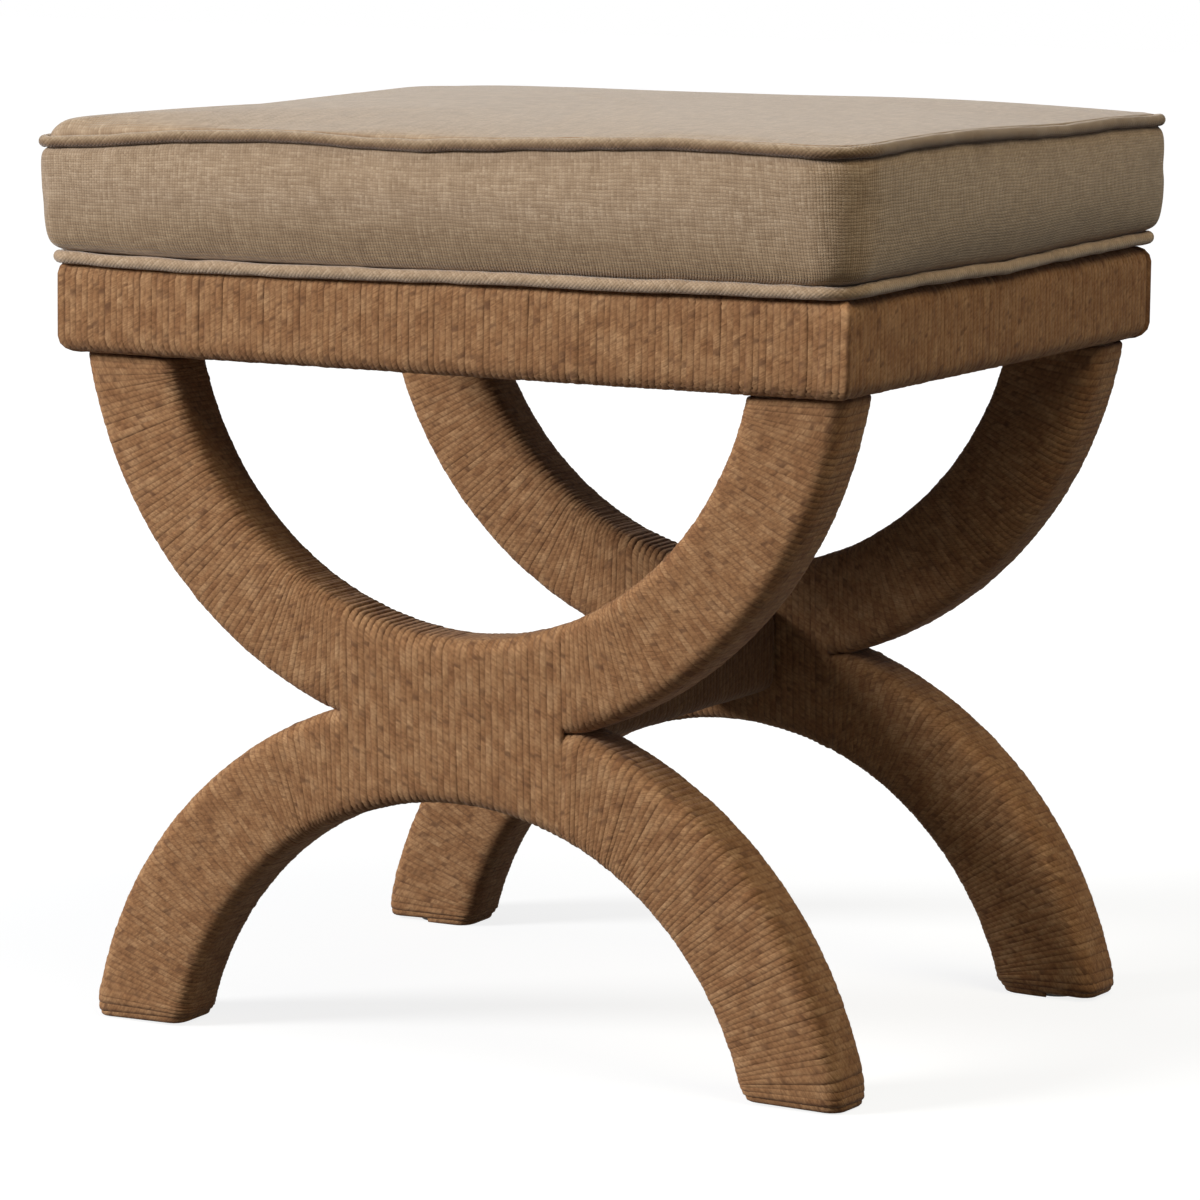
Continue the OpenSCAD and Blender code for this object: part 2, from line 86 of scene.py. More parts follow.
# Corner radii at the lower and upper seam: back right, back left, front left, front right.
LOW_RADII, TOP_RADII = (8, 12, 6, 20), (13, 12, 8, 30)
CORNER_DRAW = 20.0  # how the corners draw in between the seams, a quarter of it at half height

CORD_PITCH, ARM_PITCH = 3.8, 3.1  # from strand to strand, as counted on the photograph
CORD_LAY = 15.0  # one full turn of the cord's three plies
WEAVE_PITCH = 1.65  # from thread to thread of the linen
PLY_T = 2.4  # one ply of the seat board
DOT_PITCH = 2.2  # from dot to dot of the dust cover


# Shader helpers.


class Nodes:
    """A node tree of a material, with short calls for the nodes used here."""

    def __init__(self, name):
        self.mat = bpy.data.materials.new(name)
        self.mat.use_nodes = True
        self.tree = self.mat.node_tree
        self.shader = self.tree.nodes["Principled BSDF"]

    def add(self, kind, **props):
        node = self.tree.nodes.new(kind)
        for key, value in props.items():
            setattr(node, key, value)
        return node

    def link(self, source, target):
        self.tree.links.new(source, target)

    def feed(self, socket, value):
        """Puts a number, a colour or another node's output on a socket."""
        if isinstance(value, bpy.types.NodeSocket):
            self.link(value, socket)
        else:
            socket.default_value = value

    def math(self, operation, a, b=0.0):
        node = self.add("ShaderNodeMath", operation=operation)
        for socket, value in zip(node.inputs, (a, b)):
            self.feed(socket, value)
        return node.outputs[0]

    def ramp(self, fac, *stops):
        """stops are (position, colour)."""
        node = self.add("ShaderNodeValToRGB")
        elements = node.color_ramp.elements
        while len(elements) < len(stops):
            elements.new(0.5)
        for element, (place, colour) in zip(elements, stops):
            element.position, element.color = place, (*colour, 1)
        self.feed(node.inputs[0], fac)
        return node.outputs[0]

    def mix(self, fac, a, b, blend="MIX"):
        node = self.add("ShaderNodeMix", data_type="RGBA", blend_type=blend)
        for socket, value in zip((node.inputs[0], node.inputs[6], node.inputs[7]), (fac, a, b)):
            self.feed(socket, (*value, 1) if isinstance(value, tuple) and len(value) == 3 else value)
        return node.outputs[2]

    def noise(self, vector, scale, detail=2.0, roughness=0.5, size="3D"):
        node = self.add("ShaderNodeTexNoise", noise_dimensions=size)
        self.feed(node.inputs["W" if size == "1D" else "Vector"], vector)
        node.inputs["Scale"].default_value = scale
        node.inputs["Detail"].default_value = detail
        node.inputs["Roughness"].default_value = roughness
        return node.outputs[0]

    def combine(self, x, y, z):
        node = self.add("ShaderNodeCombineXYZ")
        for socket, value in zip(node.inputs, (x, y, z)):
            self.feed(socket, value)
        return node.outputs[0]

    def stretch(self, x, scale_x, y, scale_y):
        """A flat vector of x and y, each times its scale."""
        return self.combine(self.math("MULTIPLY", x, scale_x), self.math("MULTIPLY", y, scale_y), 0.0)

    def stretch_place(self, scales):
        """The object's own coordinates, each times its scale."""
        axes = self.split(self.place())
        return self.combine(*(self.math("MULTIPLY", axis, scale) for axis, scale in zip(axes, scales)))

    def split(self, vector):
        node = self.add("ShaderNodeSeparateXYZ")
        self.link(vector, node.inputs[0])
        return node.outputs

    def spread(self, value, low, high, to_low=0.0, to_high=1.0):
        """Stretches the range from low to high to another one, and stops at its ends."""
        node = self.add("ShaderNodeMapRange")
        for socket, number in zip(node.inputs, (value, low, high, to_low, to_high)):
            self.feed(socket, number)
        return node.outputs[0]

    def uv(self, name):
        """The u, v and w of a UV map."""
        return self.split(self.add("ShaderNodeUVMap", uv_map=name).outputs[0])

    def place(self):
        """The object's own coordinates, in metres."""
        return self.add("ShaderNodeTexCoord").outputs["Object"]

    def bump(self, height, distance, strength):
        node = self.add("ShaderNodeBump")
        node.inputs["Strength"].default_value = strength
        node.inputs["Distance"].default_value = distance
        self.link(height, node.inputs["Height"])
        return node.outputs[0]

    def finish(self, colour, roughness, normal, **sockets):
        """Feeds the shader; sockets are its other inputs, with _ for each space in their names."""
        for name, value in (("Base Color", colour), ("Roughness", roughness), ("Normal", normal)):
            self.feed(self.shader.inputs[name], value)
        for name, value in sockets.items():
            self.shader.inputs[name.replace("_", " ")].default_value = value
        return self.mat


# Materials.


def dyed(tones, level):
    """Stops of a ramp, with their colours times level."""
    return [(at, tuple(level * share for share in colour)) for at, colour in tones]


def cord_material(name, level=1.0):
    """Twisted plant-fibre cord. Its UV map holds the way along it in metres and the share round it."""
    n = Nodes(name)
    along, turn, _ = n.uv("lay")
    lays = n.math("DIVIDE", along, CORD_LAY * MM)
    phase = n.math("ADD", n.math("MULTIPLY", lays, 3.0), n.math("MULTIPLY", turn, 3.0))
    ply = n.math("ABSOLUTE", n.math("SINE", n.math("MULTIPLY", phase, math.pi)))
    fibres = n.noise(n.stretch(phase, 7.0, lays, 2.2), 1.0, 2.0, 0.65, "2D")
    place = n.place()
    strand = n.noise(n.math("MULTIPLY", along, 55.0), 1.0, 1.0, 0.6, "1D")
    patch = n.noise(place, 75.0, 2.0, 0.65)
    tone = n.math("ADD", n.math("MULTIPLY", strand, 0.55), n.math("MULTIPLY", patch, 0.45))
    tones = (
        (0.25, (0.240, 0.112, 0.048)),
        (0.45, (0.322, 0.165, 0.075)),
        (0.57, (0.384, 0.211, 0.102)),
        (0.78, (0.462, 0.274, 0.143)),
    )
    base = n.ramp(tone, *dyed(tones, level))
    fine = n.ramp(fibres, (0.30, (0.60, 0.52, 0.46)), (0.52, (1, 1, 1)), (0.75, (1.22, 1.20, 1.15)))
    base = n.mix(0.7, base, fine, "MULTIPLY")
    # Painted shade in the grooves between the plies.
    ply_groove_shade = n.ramp(ply, (0.0, (0.46, 0.36, 0.30)), (0.42, (1, 1, 1)))
    base = n.mix(0.18, base, ply_groove_shade, "MULTIPLY")
    fuzz = n.noise(place, 540.0, 2.0, 0.6)
    felt = n.ramp(fuzz, (0.32, (0.66, 0.59, 0.52)), (0.66, (1.22, 1.21, 1.17)))
    base = n.mix(0.6, base, felt, "MULTIPLY")
    flecks = n.noise(n.stretch(phase, 0.7, lays, 1.8), 1.0, 1.0, 0.5, "2D")
    slub = n.spread(flecks, 0.63, 0.77)
    base = n.mix(n.math("MULTIPLY", slub, 0.62), base, (0.110, 0.047, 0.022))
    # Painted shade in the lines between the turns, which comes and goes along the cord.
    flank_shade = n.spread(n.math("ABSOLUTE", n.math("SUBTRACT", turn, 0.5)), 0.036, 0.086)
    open_line = n.spread(n.noise(place, 180.0, 1.0, 0.6), 0.38, 0.60, 0.32, 1.0)
    line = n.math("MULTIPLY", n.math("MULTIPLY", flank_shade, open_line), 0.62)
    base = n.mix(line, base, (0.120, 0.052, 0.024))
    height = n.math("ADD", n.math("MULTIPLY", ply, 0.20), n.math("MULTIPLY", fibres, 0.5))
    height = n.math("ADD", height, n.math("MULTIPLY", fuzz, 0.6))
    relief = n.bump(height, 0.0005, 0.6)
    return n.finish(base, 0.88, relief, Sheen_Weight=0.06, Sheen_Roughness=0.5, Specular_IOR_Level=0.20)


def linen_material(name, bias=False, level=1.0, shade=None):
    """Plain-woven linen, its UV map in metres on the flat cloth; shade paints shade on it by how far it
    faces up.
    """
    n = Nodes(name)
    u, v, _ = n.uv("weave")
    if bias:
        u, v = (n.math("MULTIPLY", n.math(way, u, v), math.sqrt(0.5)) for way in ("ADD", "SUBTRACT"))
    bend = n.noise(n.combine(u, v, 0.0), 55.0, 0.0, 0.5, "2D")
    u = n.math("ADD", u, n.math("MULTIPLY", n.math("SUBTRACT", bend, 0.5), 0.0010))
    v = n.math("ADD", v, n.math("MULTIPLY", n.math("SUBTRACT", bend, 0.5), 0.0012))
    pu, pv = n.math("DIVIDE", u, WEAVE_PITCH * MM), n.math("DIVIDE", v, WEAVE_PITCH * MM)
    su, sv = (n.math("SINE", n.math("MULTIPLY", p, math.pi)) for p in (pu, pv))
    au, av = n.math("ABSOLUTE", su), n.math("ABSOLUTE", sv)
    over = n.math("ADD", n.math("MULTIPLY", n.math("MULTIPLY", su, sv), 0.5), 0.5)
    height = n.math(
        "ADD", n.math("MULTIPLY", au, over), n.math("MULTIPLY", av, n.math("SUBTRACT", 1.0, over))
    )
    threads = []
    for across, down in ((pu, pv), (pv, pu)):
        one = n.math("FLOOR", across)
        threads.append(n.noise(n.stretch(one, 7.31, down, 0.13), 1.0, 1.0, 0.6, "2D"))
    both = n.math("MULTIPLY", n.math("ADD", *threads), 0.5)
    step = n.math("SUBTRACT", threads[0], threads[1])
    upper = n.math("ADD", threads[1], n.math("MULTIPLY", n.spread(over, 0.35, 0.65), step))
    thread = n.math("ADD", n.math("MULTIPLY", both, 0.4), n.math("MULTIPLY", upper, 0.6))
    cloud = n.noise(n.place(), 14.0, 1.0)
    tones = (0.28, (0.292, 0.197, 0.120)), (0.50, (0.366, 0.256, 0.164)), (0.72, (0.452, 0.330, 0.222))
    base = n.ramp(thread, *dyed(tones, level))
    # Painted shade where the threads dip between each other, and a painted highlight where they rise.
    weave_shade = n.ramp(height, (0.05, (0.52, 0.46, 0.40)), (0.75, (1.08, 1.08, 1.08)))
    base = n.mix(0.36, base, weave_shade, "MULTIPLY")
    wear = n.ramp(cloud, (0.35, (0.93, 0.92, 0.90)), (0.65, (1.04, 1.04, 1.04)))
    base = n.mix(0.25, base, wear, "MULTIPLY")
    # Painted shade: the colour is darkened by how far the surface faces down.
    if shade:
        normal = n.split(n.add("ShaderNodeNewGeometry").outputs["Normal"])
        base = n.mix(1.0, base, n.ramp(n.spread(normal[2], -0.6, 1.0), *shade), "MULTIPLY")
    relief = n.bump(height, 0.00035, 0.75)
    return n.finish(base, 0.85, relief, Sheen_Weight=0.45, Sheen_Roughness=0.5, Specular_IOR_Level=0.14)


def wood_material(name, dark, light, ring=60.0):
    """Wood with its grain along x; a higher ring sets its growth rings closer."""
    n = Nodes(name)
    grain = n.noise(n.stretch_place((9.0, 120.0, 60.0)), 1.0, 4.0, 0.6)
    rings = n.noise(n.stretch_place((4.0, ring, ring)), 1.0, 2.0)
    pores = n.ramp(grain, (0.35, (0.7, 0.62, 0.55)), (0.6, (1.05, 1.05, 1.05)))
    base = n.mix(0.6, n.ramp(rings, (0.35, dark), (0.65, light)), pores, "MULTIPLY")
    return n.finish(base, n.spread(grain, 0.3, 0.7, 0.5, 0.7), n.bump(grain, 0.0003, 0.5))


def plywood_material():
    """Plywood, its plies in layers up z."""
    n = Nodes("plywood")
    height = n.split(n.place())[2]
    layer = n.math("SINE", n.math("MULTIPLY", height, math.pi / (PLY_T * MM)))
    grain = n.noise(n.stretch_place((140.0, 6.0, 300.0)), 1.0, 4.0, 0.6)
    plies = n.ramp(layer, (0.3, (0.75, 0.7, 0.62)), (0.6, (1, 1, 1)))
    wood = n.ramp(grain, (0.3, (0.42, 0.28, 0.16)), (0.65, (0.62, 0.46, 0.30)))
    base = n.mix(0.4, wood, plies, "MULTIPLY")
    return n.finish(base, 0.65, n.bump(grain, 0.0002, 0.5))


def steel_material():
    """Zinc-plated steel of the bolts, nuts and screws."""
    n = Nodes("zinc_steel")
    grain = n.noise(n.place(), 700.0, 3.0)
    worn = n.noise(n.place(), 120.0, 2.0)
    base = n.ramp(worn, (0.35, (0.46, 0.45, 0.42)), (0.65, (0.66, 0.65, 0.62)))
    return n.finish(base, n.spread(grain, 0.3, 0.7, 0.28, 0.45), n.bump(grain, 0.00005, 0.4), Metallic=1.0)


def nylon_material():
    """Black nylon of the glides."""
    n = Nodes("nylon")
    grain = n.noise(n.place(), 900.0, 2.0)
    base = n.ramp(n.noise(n.place(), 60.0, 2.0), (0.3, (0.055, 0.050, 0.045)), (0.7, (0.085, 0.078, 0.070)))
    return n.finish(base, n.spread(grain, 0.3, 0.7, 0.38, 0.55), n.bump(grain, 0.00008, 0.4))


def cambric_material():
    """Black non-woven cloth of the dust cover, with its pressed dots."""
    n = Nodes("cambric")
    x, y, _ = n.split(n.place())
    dots = n.math(
        "MULTIPLY",
        *(n.math("SINE", n.math("MULTIPLY", axis, 2 * math.pi / (DOT_PITCH * MM))) for axis in (x, y)),
    )
    fibre = n.noise(n.place(), 900.0, 3.0)
    height = n.math("ADD", n.math("MULTIPLY", dots, 0.5), fibre)
    base = n.ramp(fibre, (0.3, (0.012, 0.012, 0.013)), (0.7, (0.035, 0.035, 0.037)))
    return n.finish(base, 0.9, n.bump(height, 0.0002, 0.6))


def foam_material():
    """Yellowish open-celled foam."""
    n = Nodes("foam")
    cells = n.noise(n.place(), 1500.0, 2.0)
    base = n.ramp(n.noise(n.place(), 20.0, 2.0), (0.3, (0.80, 0.74, 0.52)), (0.7, (0.88, 0.83, 0.63)))
    return n.finish(base, 0.95, n.bump(cells, 0.0004, 0.7))


CORD = cord_material("twisted_cord")
# A copy of the cord at half brightness: painted shade for the stretcher deep under the seat.
CORD_PAINTED_SHADE = cord_material("twisted_cord_painted_shade", 0.5)
# Painted shade: the cover is darker and yellower where it faces down, where it turns down to the seat frame.
DOWNWARD_PAINTED_SHADE = (0.0, (0.95, 0.86, 0.66)), (0.28, (0.99, 0.97, 0.92)), (0.37, (1, 1, 1))
LINEN = linen_material("linen", shade=DOWNWARD_PAINTED_SHADE)
# Painted shade: the top piping is darker and browner the less it faces up, most where it faces out and down.
UNDERSIDE_PAINTED_SHADE = (0.0, (0.50, 0.38, 0.28)), (0.375, (0.64, 0.57, 0.49)), (0.69, (0.80, 0.79, 0.74)), (1.0, (1, 1, 1))
TOP_PIPING = linen_material("linen_top_piping", bias=True, shade=UNDERSIDE_PAINTED_SHADE)
# The bottom piping is the same linen brightened by 1.18: painted light.
LOW_PIPING_PAINTED_LIGHT = linen_material("linen_bottom_piping", bias=True, level=1.18)
BEECH = wood_material("beech", (0.42, 0.27, 0.15), (0.60, 0.42, 0.26))
DOWEL = wood_material("birch_dowel", (0.55, 0.40, 0.24), (0.72, 0.56, 0.38), ring=200.0)
PLYWOOD = plywood_material()
STEEL = steel_material()
NYLON = nylon_material()
CAMBRIC = cambric_material()
FOAM = foam_material()


def dress_nodes():
    """Gives each CAD node that stays in sight its material."""
    for name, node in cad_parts.items():
        if "glides" in name:
            mat = NYLON
        elif any(word in name for word in ("bolts", "nuts", "screws")):
            mat = STEEL
        elif "dowels" in name:
            mat = DOWEL
        elif name == "seat_board":
            mat = PLYWOOD
        elif name == "dust_cover":
            mat = CAMBRIC
        else:
            mat = BEECH
        node.data.materials.clear()
        node.data.materials.append(mat)


# Mesh helpers.


def put(name, points, faces, mat, nodes, uv=None, uv_name="weave"):
    """Makes a piece from points in millimetres, on the one body, in the place of the CAD nodes."""
    mesh = bpy.data.meshes.new(name)
    mesh.from_pydata((np.asarray(points) * MM).tolist(), [], faces)
    if uv is not None:
        layer = mesh.uv_layers.new(name=uv_name)
        layer.data.foreach_set("uv", np.asarray(uv, np.float32).ravel())
    mesh.polygons.foreach_set("use_smooth", [True] * len(mesh.polygons))
    mesh.materials.append(mat)
    mesh.validate()
    piece = bpy.data.objects.new(name, mesh)
    bpy.context.scene.collection.objects.link(piece)
    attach(piece, "root")
    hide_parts(*nodes)
    return piece


def drift(rng, count, step):
    """Smooth noise from about -1 to 1, with a new value each step samples."""
    knots = rng.uniform(-1, 1, int(count / step) + 3)
    at = np.arange(count) / step
    low = at.astype(int)
    part = at - low
    part = part * part * (3 - 2 * part)
    return knots[low] * (1 - part) + knots[low + 1] * part


def rounded(flat_u, flat_v, arc):
    """Samples round a rounded rectangle: factors of its half sides less its radius, and of its radius."""
    corners = ((1, 1), (-1, 1), (-1, -1), (1, -1))
    rows = []
    for i, (side_u, side_v) in enumerate(corners):
        for k in range(arc + 1):
            a = math.radians(90 * i + 90 * k / arc)
            rows.append((side_u, math.cos(a), side_v, math.sin(a)))
        next_u, next_v = corners[(i + 1) % 4]
        steps = flat_u if i % 2 == 0 else flat_v
        for k in range(1, steps):
            share = k / steps
            at_u, at_v = side_u + (next_u - side_u) * share, side_v + (next_v - side_v) * share
            rows.append((at_u, math.cos(a), at_v, math.sin(a)))
    return np.array(rows)


def unit(v):
    """The same directions with the length one."""
    return v / np.maximum(np.linalg.norm(v, axis=1, keepdims=True), 1e-9)


def ring_faces(under, over, around):
    """The faces between two rings of points, from the numbers of their first points."""
    return [
        (under + i, under + (i + 1) % around, over + (i + 1) % around, over + i) for i in range(around)
    ]


def tube(path, across, out, width, height, turns_at, squash=1.0, closed=False):
    """Points, faces and UVs of a tube along path, half width along across and half height along out.

    turns_at are its section's angles, rising from -90; below 1, squash makes the section squarer.
    """
    count, sides = len(path), len(turns_at)
    share = (np.append(turns_at, turns_at[0] + 360) + 90) / 360
    flow = np.roll(path, -1, 0) - np.roll(path, 1, 0) if closed else np.gradient(path, axis=0)
    flow = unit(flow)
    across = unit(across - flow * (across * flow).sum(1, keepdims=True))
    out = unit(out - flow * (out * flow).sum(1, keepdims=True))
    flip = float((np.cross(across, flow) * out).sum()) < 0
    turn = np.radians(turns_at)
    round_x, round_y = (np.sign(a) * np.abs(a) ** squash for a in (np.cos(turn), np.sin(turn)))
    ring = (
        path[:, None]
        + across[:, None] * (width[:, None] * round_x)[:, :, None]
        + out[:, None] * (height[:, None] * round_y)[:, :, None]
    )
    steps = np.linalg.norm(np.diff(np.vstack([path, path[:1]]), axis=0), axis=1) * MM
    along = np.concatenate([[0], np.cumsum(steps)])
    last = count if closed else count - 1
    i, j = (x.ravel() for x in np.meshgrid(np.arange(last), np.arange(sides), indexing="ij"))
    i2, j2 = (i + 1) % count, (j + 1) % sides
    faces = np.stack([i * sides + j, i2 * sides + j, i2 * sides + j2, i * sides + j2], 1)
    way, way_on, turned, turned_on = along[i], along[i + 1], share[j], share[j + 1]
    uv = np.stack([way, turned, way_on, turned, way_on, turned_on, way, turned_on], 1).reshape(-1, 4, 2)
    if flip:
        faces, uv = faces[:, ::-1], uv[:, ::-1]
    faces, uv = faces.tolist(), uv.reshape(-1, 2).tolist()
    if not closed:
        first, end = list(range(sides)), [last * sides + k for k in range(sides)]
        faces += [first, end[::-1]] if not flip else [first[::-1], end]
        uv += [[0, 0]] * (2 * sides)
    return ring.reshape(-1, 3), faces, uv


# Windings.


CORD_ANGLES = (-90, 10, 45, 68, 90, 112, 135, 170)  # closest on the side that shows
CORD_SQUASH = 0.8  # the cord is pressed flat on its neighbours
ROUND_ANGLES = tuple(range(-90, 270, 24))
TURN_R, TURN_ARC = 7.0, 4  # the bend of a turn over the member's edges, and its steps
# How far a cord strays along the member, in turns, and outwards, in mm: quickly and slowly.
STRAY_ALONG, STRAY_OUT = (0.08, 0.05), (0.11, 0.10)
CORD_WIDTH, WIDTH_STRAY, HEIGHT_STRAY = 1.88, 0.10, 0.07  # the width is in half turns
KNOT_SHARE, KNOT = 0.003, (0.12, 0.3, 0.12)  # the share of samples with a knot, and its form in mm
ARM_TUCK = 2.0  # how far an arm's winding begins inside the hub binding
LEAN_BY = math.radians(20)  # the turns lean from upright to the arch's radius by this angle
# Shares of an arm's length: from LEVEL_FROM its turns level out, and from ROUND_FROM a foot rounds
# off. A lower arm widens by FOOT_SWELL to the foot, and its last turns stray by FOOT_LOOSE turns.
FOOT_SWELL, FOOT_TUCK, FOOT_LOOSE, FOOT_GAP = 1.1, 2.4, 0.18, 0.5
SWELL_BY, LEVEL_FROM, ROUND_FROM = 1 / 1.4, 0.90, 0.955


def wind(name, shape, half, turns, seed, nodes, flats, begin, loose=0.0, mat=CORD):
    """Winds one cord in turns round a member, as one unbroken tube.

    shape(s, u, v) gives points in mm for s from 0 to 1 along the member and u, v in its section;
    half(s) gives the section's half sides along the cord's own middle, and begin is the flat on which a
    turn begins: 0 for v above, 1 for u below, 2 for v below and 3 for u above. loose is how far the last
    turns stray, in turns.
    """
    rng = np.random.default_rng(seed)
    table = rounded(*flats, TURN_ARC)
    per_turn = len(table)
    sides_done = (begin + 1) // 2 * (flats[0] - 1) + begin // 2 * (flats[1] - 1)
    first = begin * (TURN_ARC + 1) + sides_done + TURN_ARC + flats[begin % 2] // 2
    table = np.roll(table, -first, axis=0)

    def section(rows, half_u, half_v):
        u = rows[:, 0] * (half_u - TURN_R) + rows[:, 1] * TURN_R
        return u, rows[:, 2] * (half_v - TURN_R) + rows[:, 3] * TURN_R

    u, v = section(table, *half(np.array([0.5])))
    steps = np.hypot(np.diff(np.append(u, u[0])), np.diff(np.append(v, v[0])))
    share = np.concatenate([[0], np.cumsum(steps)[:-1]]) / steps.sum()
    i = np.arange(per_turn * turns + 1)
    row = table[i % per_turn]
    s = (i // per_turn + share[i % per_turn]) / turns
    u, v = section(row, *half(s))
    path = shape(s, u, v)
    near = 0.5 / turns
    pitch = shape(s + near, u, v) - shape(s - near, u, v)
    out = unit(np.cross(pitch, np.gradient(path, axis=0)))
    out = out * np.where((out * (path - shape(s, 0 * u, 0 * v))).sum(1) < 0, -1, 1)[:, None]

    def stray(step):
        return drift(rng, len(s), step)

    # Each stray has a step of its own, so that no two keep time.
    along = STRAY_ALONG[0] * stray(per_turn / 5.3) + STRAY_ALONG[1] * stray(per_turn * 1.7)
    path = path + pitch * along[:, None]
    lift = STRAY_OUT[0] * stray(per_turn / 4.1) + STRAY_OUT[1] * stray(per_turn * 0.9)
    path = path + out * lift[:, None]
    if loose:
        # The turns work loose over 0.05 of the length, and the last 0.012 brings them in again.
        share = loose * np.clip((s - LEVEL_FROM) / 0.05, 0, 1) * np.clip((1 - s) / 0.012, 0, 1)
        path = path + pitch * (share * stray(per_turn / 2.9))[:, None]
        path = path + out * (share * 1.2 * stray(per_turn / 3.7))[:, None]
    width = np.linalg.norm(pitch, axis=1) / 2 * (CORD_WIDTH + WIDTH_STRAY * stray(per_turn / 3.3))
    height = CORD_T / 2 * (1.0 + HEIGHT_STRAY * stray(per_turn / 3.7))
    knots = np.convolve(rng.random(len(s)) < KNOT_SHARE, KNOT, "same")
    points, faces, uv = tube(path, pitch, out, width, height + knots, CORD_ANGLES, CORD_SQUASH)
    put(name, points, faces, mat, nodes, uv, "lay")


def rail_winding(name, side, seed):
    """The winding of one rail of the seat frame, whose outward direction is side (x, y)."""
    long = side[0] == 0
    face = (SEAT_D if long else SEAT_W) / 2
    end = (SEAT_W if long else SEAT_D) / 2 - (0 if long else CORD_PITCH)
    turns = round(2 * end / CORD_PITCH)
    reach = (RAIL_S + CORD_T) / 2
    mid_z = RAIL_Z + RAIL_S / 2

    def shape(s, u, v):
        away = face - CORD_T / 2 - reach + u
        way = (2 * s - 1) * (end - (reach - u))
        x, y = (way, away * side[1]) if long else (away * side[0], way)
        return np.stack([x + 0 * v, y + 0 * v, mid_z + v], 1)

    def half(s):
        return reach + 0 * s, reach + 0 * s

    wind(name, shape, half, turns, seed, [name.replace("_winding", "_wrap")], (4, 4), 1)


def arm_winding(name, left, upper, front, seed):
    """One of the eight arms, from the hub binding to the rail or the floor."""
    start = math.asin((BINDING_HALF - ARM_TUCK) / ARCH_R)
    gap = CORD_T / 2 + (0 if upper else FOOT_GAP)
    stop = math.acos((-LOWER_CENTRE + gap) / ARCH_R)
    turns = round(ARCH_R * (stop - start) / ARM_PITCH)
    side_x, side_y = (-1 if left else 1), (-1 if front else 1)
    flat = UPPER_CENTRE - HUB_Z - CORD_T / 2

    def ease(x):
        x = np.clip(x, 0, 1)
        return x * x * (3 - 2 * x)

    def shape(s, u, v):
        angle = start + (stop - start) * s
        lean = angle * ease((angle - start) / LEAN_BY)
        lean = lean + (math.pi / 2 - lean) * ease((s - LEVEL_FROM) / (1 - LEVEL_FROM))
        px, pz = ARCH_R * np.sin(angle), ARCH_R * np.cos(angle)
        dx, dz = np.sin(lean), np.cos(lean)
        along = px * dx + pz * dz
        t = -along + np.sqrt(np.maximum(along**2 - ARCH_R**2 + (ARCH_R + u) ** 2, 0))
        x, z = px + t * dx, np.minimum(pz + t * dz, flat)
        z = UPPER_CENTRE - z if upper else LOWER_CENTRE + z
        return np.stack([side_x * x, side_y * ARCH_Y + v, z], 1)

    def half(s):
        swell = 0 * s if upper else FOOT_SWELL * ease(s / SWELL_BY)
        round_off = np.clip((s - ROUND_FROM) / (1 - ROUND_FROM), 0, 1) ** 2
        tuck = 0 * s if upper else FOOT_TUCK * round_off
        return (ARCH_W + CORD_T) / 2 + swell - tuck, (ARCH_T + CORD_T) / 2 - tuck

    loose, begin = 0.0 if upper else FOOT_LOOSE, 0 if front else 2
    wind(name, shape, half, turns, seed, [name.replace("_winding", "_wrap")], (4, 2), begin, loose)


def hub_winding(name, front, seed):
    """The upright winding that binds the two arches where they cross."""
    side_y = -1 if front else 1
    end = BINDING_HALF
    turns = round(2 * end / CORD_PITCH)
    inner = ARCH_R - ARCH_W / 2 - CORD_T / 2

    def half(s):
        x = (2 * s - 1) * end
        return (ARCH_T + CORD_T) / 2 + 0 * s, UPPER_CENTRE - np.sqrt(inner**2 - x**2) - HUB_Z

    def shape(s, u, v):
        return np.stack([(2 * s - 1) * end, side_y * ARCH_Y + u, HUB_Z + v], 1)

    wind(name, shape, half, turns, seed, [name.replace("_winding", "_binding")], (2, 8), 3 if front else 1)


def stretcher_winding(seed):
    """The winding of the member between the two crossings, its cord darkened to half as painted shade."""
    turns = round(2 * STRETCHER_HALF / CORD_PITCH)
    end = STRETCHER_HALF - CORD_T / 2

    def shape(s, u, v):
        return np.stack([u, (2 * s - 1) * end, HUB_Z + v], 1)

    def half(s):
        return (STRETCHER_W + CORD_T) / 2 + 0 * s, (STRETCHER_H + CORD_T) / 2 + 0 * s

    wind("stretcher_winding", shape, half, turns, seed, ["stretcher_wrap"], (5, 4), 2, mat=CORD_PAINTED_SHADE)


def windings():
    """All fifteen windings; each has its own seed."""
    rail_winding("front_rail_winding", (0, -1), 11)
    rail_winding("back_rail_winding", (0, 1), 12)
    rail_winding("left_rail_winding", (-1, 0), 13)
    rail_winding("right_rail_winding", (1, 0), 14)
    seed = 20
    for front in (True, False):
        face = "front" if front else "back"
        hub_winding(f"{face}_hub_winding", front, seed)
        for left in (True, False):
            for upper in (True, False):
                seed += 1
                arm = f"{face}_{'left' if left else 'right'}_{'upper' if upper else 'lower'}_winding"
                arm_winding(arm, left, upper, front, seed)
        seed += 1
    stretcher_winding(40)


# Cushion.


